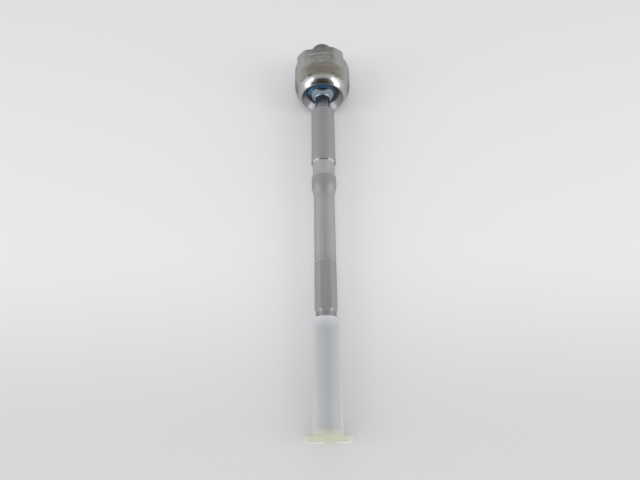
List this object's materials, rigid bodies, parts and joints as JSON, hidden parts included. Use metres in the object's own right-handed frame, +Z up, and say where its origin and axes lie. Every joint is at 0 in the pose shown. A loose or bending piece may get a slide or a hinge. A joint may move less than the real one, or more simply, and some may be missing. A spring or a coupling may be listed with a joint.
{
  "type": "inner tie rod",
  "caption": "Inner tie rod: a ball socket with wrench flats and a threaded rack stud, a forged rod with a hex and a threaded end, and a frosted cap pushed over the thread.",
  "frame": {"origin": "on the surface that the part lies on, under the middle of its outline", "axes": "+Z up, Y along the rod with +Y towards the rack stud and -Y towards the thread cap"},
  "size_m": [0.036, 0.2518, 0.036],
  "materials": {
    "housing_steel": "turned and oiled steel, dull on the barrel and polished on the spun nose",
    "seat_resin": "dark moulded resin",
    "spring_steel": "hardened spring steel",
    "grease": "wet blue grease",
    "rod_steel": "matt grey steel, with a bright ball",
    "cap_plastic": "frosted see-through plastic"
  },
  "bodies": {
    "socket": {"socket_housing": "housing_steel", "disc_spring": "spring_steel"},
    "seat": {"bearing_seat": "seat_resin", "grease_bead": "grease"},
    "film": {"grease_film": "grease"},
    "rod": {"rod_and_ball": "rod_steel"},
    "cap": {"thread_cap": "cap_plastic"}
  },
  "joints": [
    {"name": "seat_turn", "type": "hinge", "parent": "socket", "child": "seat", "pos_m": [0, 0.09427, 0.018], "axis": [0, 1, 0], "continuous": true},
    {"name": "ball_swing", "type": "hinge", "parent": "seat", "child": "film", "pos_m": [0, 0.09427, 0.018], "axis": [1, 0, 0], "range_deg": [-23.5, 20.5]},
    {"name": "rod_spin", "type": "hinge", "parent": "film", "child": "rod", "pos_m": [0, 0.09427, 0.018], "axis": [0, -0.9997, -0.0262], "continuous": true},
    {"name": "cap_pull", "type": "slide", "parent": "rod", "child": "cap", "axis": [0, -0.9997, -0.0262], "range_m": [0, 0.08]}
  ]
}
